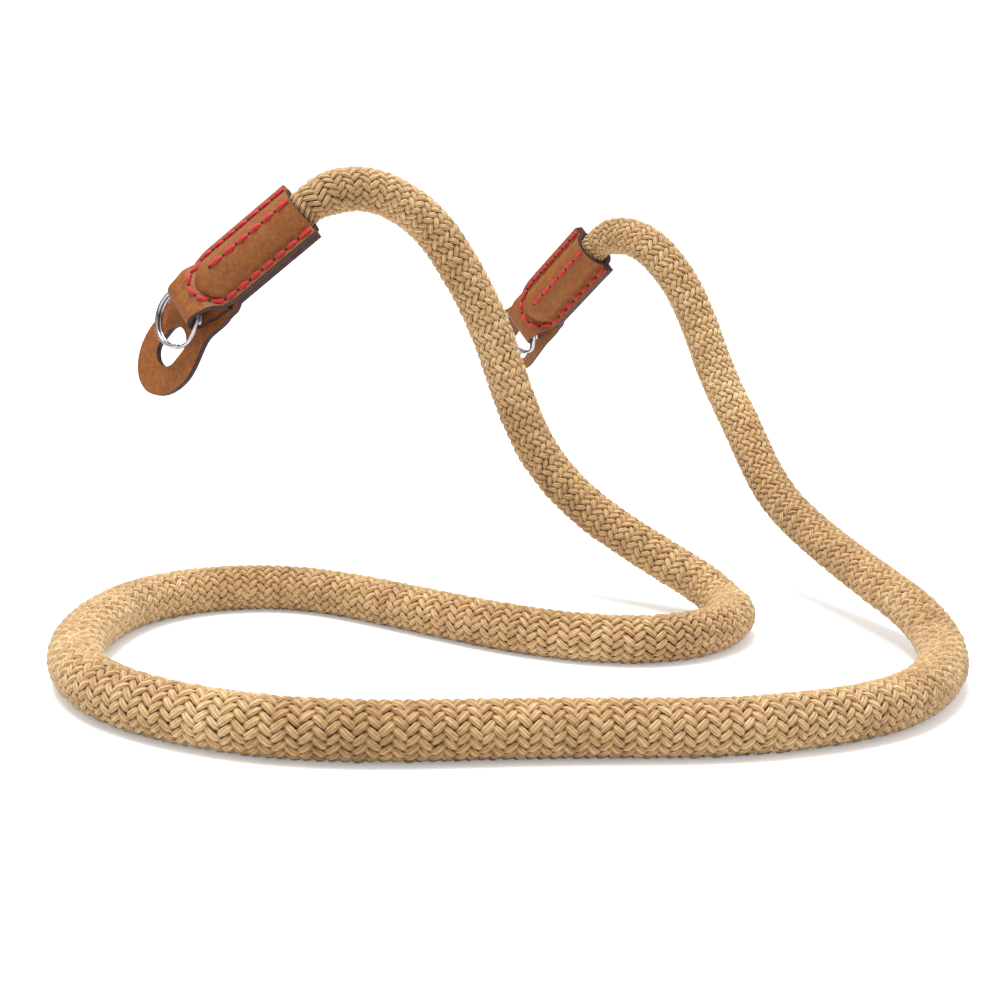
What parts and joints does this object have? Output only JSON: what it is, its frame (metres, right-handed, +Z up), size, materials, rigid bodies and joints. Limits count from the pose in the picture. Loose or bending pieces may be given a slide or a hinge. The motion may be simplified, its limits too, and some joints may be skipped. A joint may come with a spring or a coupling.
{
  "type": "camera neck strap",
  "caption": "Round braided rope neck strap with sewn leather ends, each with a split ring and a round leather guard, lying as it does while its rings are held.",
  "frame": {"origin": "the point of the left split ring that hangs on the left lug", "axes": "+X from the left ring to the right ring, +Z up, the rope lies towards -Y on a surface 58 mm below the origin"},
  "size_m": [0.2188, 0.1915, 0.0999],
  "materials": {
    "rope": "braided cotton cord",
    "leather": "smooth brown leather with painted edges",
    "steel": "polished nickel plated spring steel"
  },
  "bodies": {
    "root": {"rope": "rope", "left_leather_end": "leather", "left_guard": "leather", "left_split_ring": "steel", "right_leather_end": "leather", "right_guard": "leather", "right_split_ring": "steel"}
  },
  "joints": []
}
